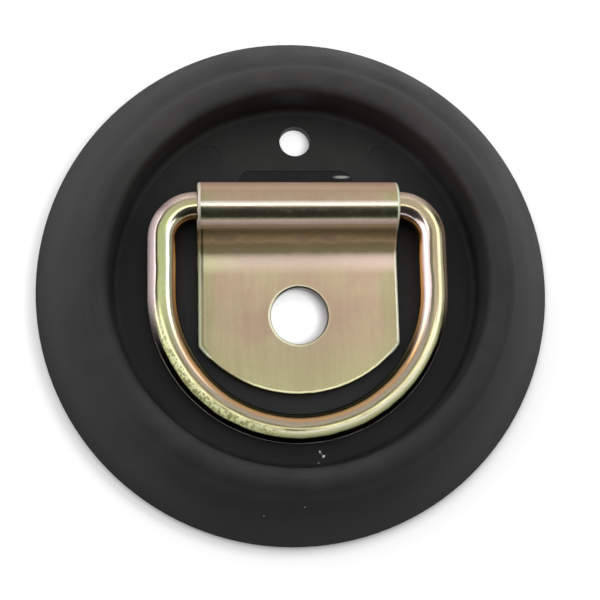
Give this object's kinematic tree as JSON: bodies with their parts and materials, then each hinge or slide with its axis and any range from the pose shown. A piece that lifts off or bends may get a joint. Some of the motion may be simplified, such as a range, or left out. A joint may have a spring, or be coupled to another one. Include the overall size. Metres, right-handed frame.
{
  "type": "tie-down ring",
  "caption": "Surface-mounted tie-down point: round plastic dish with a folded steel strap whose eye holds a swinging steel D-ring.",
  "frame": {"origin": "centre of the dish on the mounting surface, under the middle of its outline", "axes": "+Z away from the mounting surface; +Y from the bolt towards the small screw hole, so the ring lies towards -Y; +X along the ring's bar"},
  "size_m": [0.1142, 0.1142, 0.0155],
  "materials": {
    "dish_plastic": "satin black moulded plastic",
    "strap_zinc": "yellow zinc plate, satin",
    "ring_zinc": "yellow zinc plate, bright"
  },
  "bodies": {
    "dish": {"dish": "dish_plastic", "strap": "strap_zinc"},
    "ring": {"ring": "ring_zinc"}
  },
  "joints": [
    {"name": "ring_swing", "type": "hinge", "parent": "dish", "child": "ring", "pos_m": [0, 0.0164, 0.0081], "axis": [-1, 0, 0], "range_deg": [0, 136]}
  ]
}
